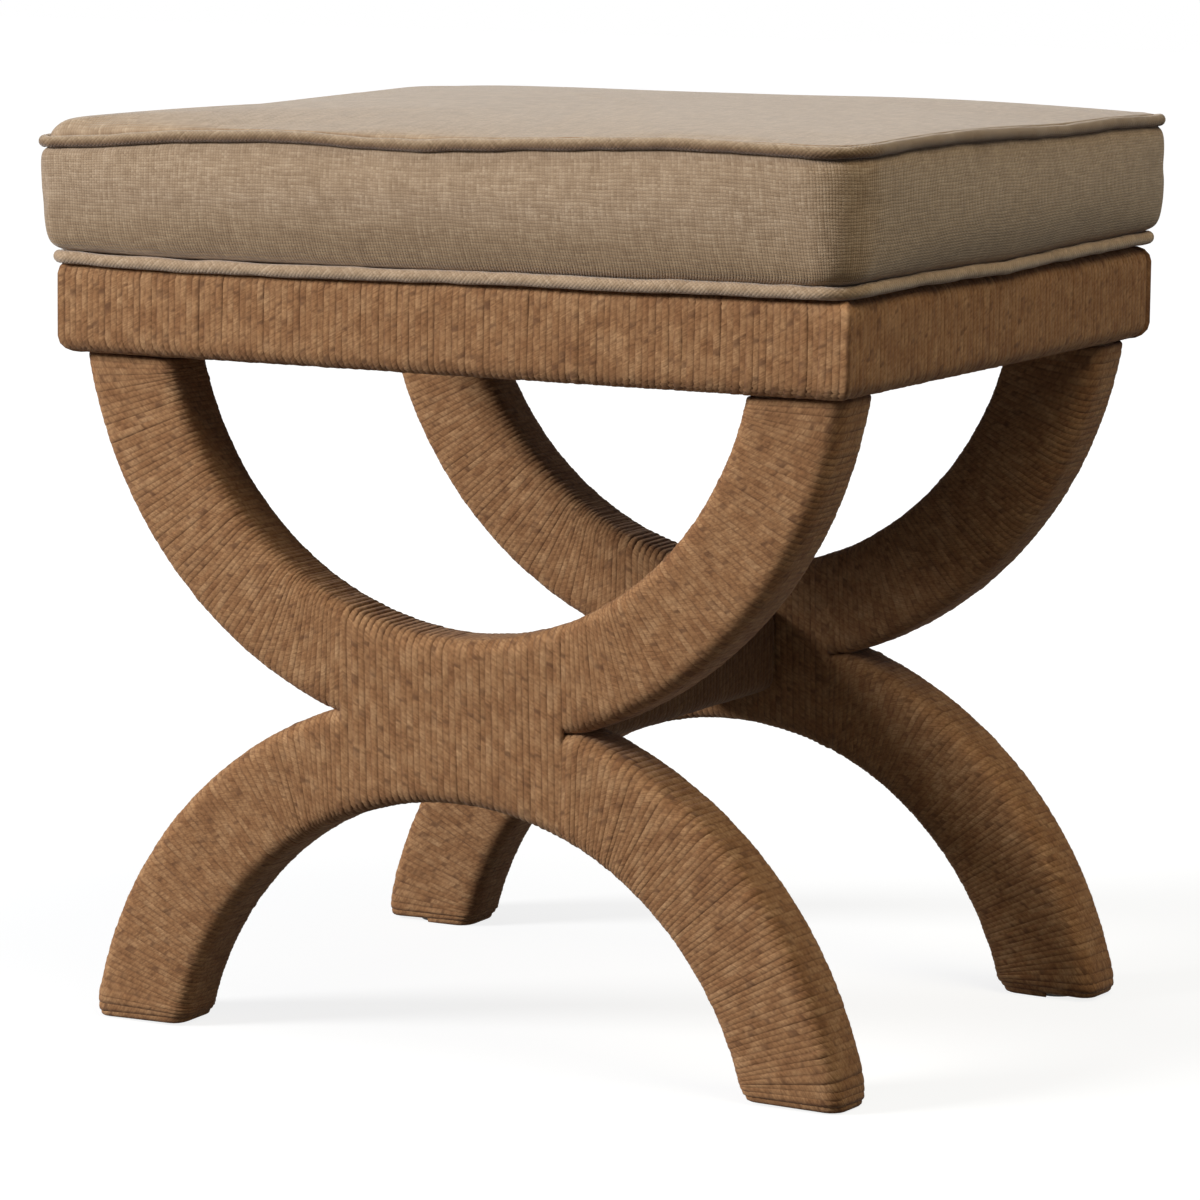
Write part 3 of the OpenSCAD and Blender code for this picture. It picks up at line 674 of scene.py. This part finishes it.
def outline(out, rise=1.0, arc=12, long=60, short=46):
    """Points (x, y) of the seat's outline, out beyond the seat frame, cut alike at any out and rise."""
    half_x, half_y = SEAT_W / 2 + out, SEAT_D / 2 + out
    corners = ((1, 1), (-1, 1), (-1, -1), (1, -1))
    arcs = []
    for i, (side_x, side_y) in enumerate(corners):
        r = LOW_RADII[i] + (TOP_RADII[i] - LOW_RADII[i]) * rise + CORNER_DRAW * (math.sqrt(rise) - rise)
        turn = np.radians(90 * i + 90 * np.arange(arc + 1) / arc)
        x, y = side_x * (half_x - r) + r * np.cos(turn), side_y * (half_y - r) + r * np.sin(turn)
        arcs.append(np.stack([x, y], 1))
    ring = []
    for i, points in enumerate(arcs):
        steps = long if i % 2 == 0 else short
        share = (np.arange(1, steps) / steps)[:, None]
        ring += [points, points[-1] * (1 - share) + arcs[(i + 1) % 4][0] * share]
    return np.concatenate(ring)


def ways(ring):
    """The way along a closed ring at each point, and its whole length."""
    steps = np.linalg.norm(np.roll(ring, -1, 0) - ring, axis=1)
    return np.concatenate([[0], np.cumsum(steps)])


# How far each seam strays up or down: places from -1 to 1 along the front, right, back and left
# sides, and the heights there in mm.
TOP_SEAM = (
    ((-1, -0.84, -0.6, -0.3, -0.1, 0.15, 0.6, 0.8, 1), (-10, -8, -3, -1.5, -4, -1.5, 3.5, 2, 1)),
    ((-1, -0.5, -0.1, 0.3, 0.65, 1), (1, 3, 1.5, -1.5, -1.5, -3.5)),
    ((-1, -0.5, 0, 0.55, 1), (-4, -3.5, -5, -2.5, -3.5)),
    ((-1, -0.8, -0.3, 0.4, 1), (-10, -7, -5.5, -4.5, -4)),
)
LOW_SEAM = (
    ((-1, -0.7, -0.2, 0.2, 0.4, 0.7, 1), (-2.5, -4, -3, -1, -1, 0, 0)),
    ((-1, -0.8, -0.3, 0, 0.4, 1), (0.5, 1, 1, -1, 1, 1.5)),
    ((-1, 0, 0.4, 1), (-1, -2, -0.5, 1.5)),
    ((-1, -0.3, 0.4, 1), (-2.5, -2, -0.5, -1)),
)


def seam_wave(points, seam):
    """The seam's height above its mean at points (x, y), by its front, right, back and left tables."""
    x, y = points[:, 0] / (SEAT_W / 2), points[:, 1] / (SEAT_D / 2)
    front, right, back, left = (np.interp(at, *table) for at, table in zip((x, y, x, y), seam))
    to = [np.clip((d - 0.80) / 0.2, 0, 1) ** 2 + 1e-6 for d in (-y, x, y, -x)]
    return (to[0] * front + to[1] * right + to[2] * back + to[3] * left) / sum(to)


def smooth_ring(values, passes):
    """Values along a closed ring, each pass smoothed with its neighbours."""
    for _ in range(passes):
        values = (np.roll(values, 1) + 2 * values + np.roll(values, -1)) / 4
    return values


# The lip that is drawn under the board, as (out, z).
LIP = ((-27.0, COVER_Z), (-6.5, COVER_Z), (-4.2, BOARD_Z), (-3.4, BAND_Z - 2.0))
# How far the boxing stands out beyond the seat frame, from its lower seam to its upper one.
BOXING_SHARES = (0, 0.02, 0.06, 0.13, 0.28, 0.50, 0.75, 0.90, 0.96, 1)
BOXING_OUT = (-0.5, 3.2, 5.2, 6.7, 8.3, 9.2, 9.2, 8.7, 7.6, 5.8)
BOXING_STEPS = 16
BOXING_RISES = tuple(0.5 - 0.5 * math.cos(math.pi * k / BOXING_STEPS) for k in range(BOXING_STEPS + 1))
# The top's rings close in on its middle by TOP_REACH in all, and are closer together at its edge.
TOP_RINGS, TOP_REACH, TOP_CLOSER = 25, 0.97, 1.6
SEAM_OUT, EDGE_OUT, EDGE_RISE = 3.2, 4.8, 0.2  # the cover behind the top piping, and just above it
TOP_FROM = len(LIP) + BOXING_STEPS + 2  # the first ring of the top
PUCKER, DENT = 0.4, 1.65  # how far the boxing puckers by its seams, and dents between them
# The puckers die out as exp(-PUCKER_FADE * way), and by the upper seam they are smaller.
PUCKER_FADE, UPPER_PUCKER = 9, 0.6
COVER_T, SWELL_CAP, CLOTH_FRAMES = 1.1, 3.0, 20  # the linen, the most that it swells, and how long
FOAM_INSET, FOAM_GAP = 2.2, 0.3  # from the foam to the cover's outside, and to the board
FOAM_FOOT, FOAM_EDGE = 2.0, 1.5  # the height and the width of the chamfer round its foot
# How unevenly a welt runs up and down, sways in and out, and changes its thickness.
WELT_RISE, WELT_SWAY, WELT_UNEVEN = 0.8, 1.8, 0.10


def cover_rows(inset=0.0):
    """Rings of the cover from its lower seam up the boxing and over the top: (out, z, rise, scale)."""
    rows = []
    for share in BOXING_RISES:
        out = np.interp(share, BOXING_SHARES, BOXING_OUT)
        rows.append((out - inset, BAND_Z + (BAND_TOP - BAND_Z) * share, share**2, 1.0))
    rows.append((SEAM_OUT - inset, TOP_WELT_Z, 1.0, 1.0))
    for k in range(TOP_RINGS):
        scale = 1 - (k / (TOP_RINGS - 1)) ** TOP_CLOSER * TOP_REACH
        rows.append((EDGE_OUT - inset, EDGE_Z + EDGE_RISE + CROWN * (1 - scale**3) - inset, 1.0, scale))
    return rows


def fade(scale, points):
    """The share of the seam's wave that reaches a ring of the top, least at the front."""
    x, y = points[:, 0] / (SEAT_W / 2), points[:, 1] / (SEAT_D / 2)
    places = (-1, -0.8, -0.5, 0, 0.5, 1)
    right, left = np.interp(y, places, (64, 50, 24, 18, 8, 6)), np.interp(y, places, (64, 18, 11, 10, 8, 6))
    to_left = np.clip((-x - 0.6) / 0.35, 0, 1)
    return scale ** (right * (1 - to_left) + left * to_left)


def simulate(piece, held, cap):
    """Swells the cloth of piece by pressure, the held points fixed and no point moved further than cap."""
    rest = np.array([v.co for v in piece.data.vertices])
    group = piece.vertex_groups.new(name="held")
    group.add(held, 1.0, "REPLACE")
    cloth = piece.modifiers.new("cloth", "CLOTH")
    cloth.settings.quality = 6
    cloth.settings.mass = 0.3
    cloth.settings.tension_stiffness = cloth.settings.compression_stiffness = 25
    cloth.settings.shear_stiffness = 10
    cloth.settings.bending_stiffness = 2
    cloth.settings.use_pressure = True
    cloth.settings.uniform_pressure_force = 3
    cloth.settings.vertex_group_mass = "held"
    cloth.settings.effector_weights.gravity = 0
    cloth.collision_settings.use_collision = False
    cloth.point_cache.frame_start, cloth.point_cache.frame_end = 1, CLOTH_FRAMES
    scene = bpy.context.scene
    for number in range(1, CLOTH_FRAMES + 1):
        scene.frame_set(number)
    shown = piece.evaluated_get(bpy.context.evaluated_depsgraph_get())
    moved = np.array([v.co for v in shown.data.vertices]) - rest
    piece.modifiers.remove(cloth)
    piece.vertex_groups.remove(group)
    far = np.linalg.norm(moved, axis=1, keepdims=True)
    rest = rest + moved * np.minimum(1, cap * MM / np.maximum(far, 1e-9))
    piece.data.vertices.foreach_set("co", rest.astype(np.float32).ravel())
    piece.data.update()
    scene.frame_set(1)


def boxing_push(ring, share, pucker, dent):
    """How far the points (x, y) of a ring of the boxing are pushed in or out."""
    low, high = math.exp(-share * PUCKER_FADE), math.exp(-(1 - share) * PUCKER_FADE)
    by_seams = PUCKER * (low + UPPER_PUCKER * high)
    push = pucker * by_seams + dent * math.sin(math.pi * share)
    flow = np.gradient(np.vstack([ring, ring[:1]]), axis=0)[:-1]
    return unit(np.stack([flow[:, 1], -flow[:, 0]], 1)) * push[:, None]


def cover_points(rows, edge):
    """The points of the cover ring by ring, and one more in the middle of the top."""
    rng = np.random.default_rng(5)
    wave, low_wave = (smooth_ring(seam_wave(edge, seam), 5) for seam in (TOP_SEAM, LOW_SEAM))
    pucker = smooth_ring(rng.uniform(-1, 1, len(edge)), 2)
    dent = smooth_ring(rng.uniform(-1, 1, len(edge)), 14) * DENT
    rings = []
    for k, (out, z, rise, scale) in enumerate(rows, -len(LIP)):
        ring = outline(out, rise)
        place, height = ring * scale, z + wave * rise * fade(scale, edge)
        if k == -1:
            # The lip's last ring follows half of the lower seam's wave.
            height = height + low_wave * 0.5
        elif 0 <= k <= BOXING_STEPS:
            height = height + low_wave * (1 - BOXING_RISES[k]) ** 2
            place = place + boxing_push(ring, BOXING_RISES[k], pucker, dent)
        rings.append(np.column_stack([place, height]))
    return np.vstack([*rings, [[0, 0, EDGE_Z + CROWN]]])


def cushion_cover():
    """The linen cover: boxing, crowned top and the lip drawn under the board."""
    rows = [(out, z, 0.0, 1.0) for out, z in LIP] + cover_rows()
    edge = outline(0)
    around = len(edge)
    points = cover_points(rows, edge)
    at, heights = ways(edge) * MM, [z * MM for _, z, _, _ in rows]
    faces, uv = [], []
    for k in range(len(rows) - 1):
        between = ring_faces(k * around, (k + 1) * around, around)
        faces += between
        if k >= TOP_FROM - 1:
            uv += [points[corner][:2] * MM for face in between for corner in face]
            continue
        under, over = heights[k], heights[k + 1]
        for left, right in zip(at, at[1:]):
            uv += [(left, under), (right, under), (right, over), (left, over)]
    last, centre = (len(rows) - 1) * around, len(points) - 1
    middle = [(last + i, last + (i + 1) % around, centre) for i in range(around)]
    faces += middle
    uv += [points[corner][:2] * MM for face in middle for corner in face]
    cover = put("cushion_cover", points, faces, LINEN, ["seat_cover"], uv)
    seam = range((TOP_FROM - 2) * around, (TOP_FROM + 1) * around)
    held = [*range((len(LIP) + 1) * around), *seam]
    simulate(cover, held, SWELL_CAP)
    thick = cover.modifiers.new("thickness", "SOLIDIFY")
    thick.thickness, thick.offset = COVER_T * MM, -1
    finer = cover.modifiers.new("finer", "SUBSURF")
    finer.levels = finer.render_levels = 1


def foam_block():
    """The foam under the cover, a closed crowned block on the board."""
    cuts = 6, 30, 22
    edge = outline(0, 1.0, *cuts)
    around = len(edge)
    wave = smooth_ring(seam_wave(edge, TOP_SEAM), 1)
    sides = [row for row in cover_rows(FOAM_INSET) if row[1] > BOARD_TOP + FOAM_FOOT]
    under = BOARD_TOP + FOAM_GAP
    rings = []
    for out, z, rise, scale in [(0.0, under, 0.0, 0.5), (sides[0][0] - FOAM_EDGE, under, 0.0, 1.0), *sides]:
        height = z + wave * rise * fade(scale, edge)
        rings.append(np.column_stack([outline(out, rise, *cuts) * scale, height]))
    starts = range(0, len(rings) * around, around)
    faces = [face for pair in zip(starts, starts[1:]) for face in ring_faces(*pair, around)]
    faces += [tuple(range(around))[::-1], tuple(range(starts[-1], len(rings) * around))]
    foam = put("seat_foam_block", np.concatenate(rings), faces, FOAM, ["seat_foam"])


def welt(name, thick, out, z, seam, seed, node, mat):
    """A fabric-covered piping cord along the seat's outline."""
    rng = np.random.default_rng(seed)
    cuts = 20, 160, 120
    level = 1.0 if seam is TOP_SEAM else 0.0
    ring, edge = outline(out, level, *cuts), outline(0, level, *cuts)
    around = len(ring)

    def uneven(passes):
        return smooth_ring(rng.uniform(-1, 1, around), passes)

    rise = smooth_ring(seam_wave(edge, seam), 32) + uneven(8) * WELT_RISE
    way = np.roll(ring, -1, 0) - np.roll(ring, 1, 0)
    outward = unit(np.stack([way[:, 1], -way[:, 0], 0 * way[:, 0]], 1))
    path = np.column_stack([ring, z + rise]) + outward * (uneven(30) * WELT_SWAY)[:, None]
    size = thick / 2 * (1 + uneven(3) * WELT_UNEVEN)
    up = np.tile([0.0, 0.0, 1.0], (around, 1))
    points, faces, uv = tube(path, up, outward, size, size, ROUND_ANGLES, closed=True)
    uv = np.array(uv) * (1, math.pi * thick * MM)
    put(name, points, faces, mat, [node], uv)


# Studio.


def camera():
    """Stands where the photograph's camera stood, by the fit of its picture."""
    target = Vector((-0.00666, 0.0, 0.2293))
    turn, tilt, far = math.radians(30.0), math.radians(8.7), 3.1486
    back = Vector((math.sin(turn) * math.cos(tilt), -math.cos(turn) * math.cos(tilt), math.sin(tilt)))
    data = bpy.data.cameras.new("camera")
    data.lens, data.sensor_width = 169.55, 36
    data.clip_start, data.clip_end = 0.1, 50
    cam = bpy.data.objects.new("camera", data)
    cam.location = target + back * far
    cam.rotation_mode = "QUATERNION"
    cam.rotation_quaternion = (-back).to_track_quat("-Z", "Y")
    bpy.context.scene.collection.objects.link(cam)
    bpy.context.scene.camera = cam


LIT = (0, 0, 0.25)  # where the lamps point, in metres
# The lamps: name, place, size, power and colour.
LAMPS = (
    ("key", (-3.25, -3.38, 2.46), 1.62, 289, (1.0, 1.0, 1.0)),
    ("side", (1.6, -0.45, 2.6), 2.0, 38, (1.0, 0.90, 0.66)),
    ("sky", (0.0, -0.3, 3.1), 1.8, 11.5, (0.55, 0.80, 1.0)),
)
ROOM_COLOUR, ROOM_LIGHT = (1.0, 0.98, 1.1), 0.075
WHITE = (1, 1, 1)
FLOOR_HALF = 9  # half the floor's side, in metres
FLOOR_SEEN, FLOOR_UNSEEN = (0.22, 0.22, 0.22), (0.11, 0.11, 0.11)
# The floor's own white light: 0.84 within 0.4 m of its middle, and 1.0 from 1.5 m on.
FLOOR_GLOW = (0, 0.4, 1.5, 0.84, 1.0)


def lamp(name, place, size, power, colour):
    """A round lamp that points at the bench."""
    data = bpy.data.lights.new(name, "AREA")
    data.shape, data.size, data.energy, data.color = "DISK", size, power, colour
    light = bpy.data.objects.new(name, data)
    light.location = place
    light.rotation_mode = "QUATERNION"
    light.rotation_quaternion = (Vector(LIT) - Vector(place)).to_track_quat("-Z", "Y")
    bpy.context.scene.collection.objects.link(light)


def blank_tree(owner):
    """The emptied node tree of a world or a material."""
    owner.use_nodes = True
    owner.node_tree.nodes.clear()
    return owner.node_tree


def plain(tree, kind, colour):
    """A shader node of one colour."""
    node = tree.nodes.new(kind)
    node.inputs["Color"].default_value = (*colour, 1)
    return node


def divide(tree, output, unseen, seen):
    """Shows one shader to camera, glossy and transmission rays only, and the other to the rest."""
    path = tree.nodes.new("ShaderNodeLightPath")
    total = path.outputs["Is Camera Ray"]
    for name in ("Is Glossy Ray", "Is Transmission Ray"):
        node = tree.nodes.new("ShaderNodeMath")
        node.operation = "MAXIMUM"
        tree.links.new(total, node.inputs[0])
        tree.links.new(path.outputs[name], node.inputs[1])
        total = node.outputs[0]
    mix = tree.nodes.new("ShaderNodeMixShader")
    for source, socket in zip((total, unseen.outputs[0], seen.outputs[0]), mix.inputs):
        tree.links.new(source, socket)
    tree.links.new(mix.outputs[0], output.inputs[0])


def room():
    """The soft light from all round, with a white background for the camera."""
    world = bpy.data.worlds.new("studio")
    bpy.context.scene.world = world
    tree = blank_tree(world)
    output = tree.nodes.new("ShaderNodeOutputWorld")
    soft, white = (plain(tree, "ShaderNodeBackground", colour) for colour in (ROOM_COLOUR, WHITE))
    soft.inputs["Strength"].default_value = ROOM_LIGHT
    divide(tree, output, soft, white)


def floor_material():
    """A pale floor that keeps the bench's shadow and turns white away from it."""
    mat = bpy.data.materials.new("pale_floor")
    tree = blank_tree(mat)
    output = tree.nodes.new("ShaderNodeOutputMaterial")
    pale = plain(tree, "ShaderNodeBsdfDiffuse", FLOOR_SEEN)
    glow = plain(tree, "ShaderNodeEmission", WHITE)
    both = tree.nodes.new("ShaderNodeAddShader")
    place, far = tree.nodes.new("ShaderNodeTexCoord"), tree.nodes.new("ShaderNodeVectorMath")
    far.operation = "LENGTH"
    spread = tree.nodes.new("ShaderNodeMapRange")
    for socket, value in zip(spread.inputs, FLOOR_GLOW):
        socket.default_value = value
    tree.links.new(place.outputs["Object"], far.inputs[0])
    tree.links.new(far.outputs["Value"], spread.inputs[0])
    tree.links.new(spread.outputs[0], glow.inputs["Strength"])
    tree.links.new(pale.outputs[0], both.inputs[0])
    tree.links.new(glow.outputs[0], both.inputs[1])
    divide(tree, output, plain(tree, "ShaderNodeBsdfDiffuse", FLOOR_UNSEEN), both)
    return mat


def studio():
    """The room, the floor and the lamps."""
    room()
    mesh = bpy.data.meshes.new("floor")
    sides = ((-1, -1), (1, -1), (1, 1), (-1, 1))
    mesh.from_pydata([(x * FLOOR_HALF, y * FLOOR_HALF, 0) for x, y in sides], [], [(0, 1, 2, 3)])
    floor = bpy.data.objects.new("floor", mesh)
    bpy.context.scene.collection.objects.link(floor)
    mesh.materials.append(floor_material())
    for values in LAMPS:
        lamp(*values)
    bpy.context.scene.view_settings.view_transform = "Standard"


camera()
dress_nodes()
windings()
cushion_cover()
foam_block()
welt("cushion_top_welt", TOP_WELT_D, TOP_WELT_OUT, TOP_WELT_Z, TOP_SEAM, 61, "top_welt", TOP_PIPING)
welt("cushion_bottom_welt", LOW_WELT_D, LOW_WELT_OUT, LOW_WELT_Z, LOW_SEAM, 62, "bottom_welt", LOW_PIPING_PAINTED_LIGHT)
studio()

bpy.context.view_layer.update()
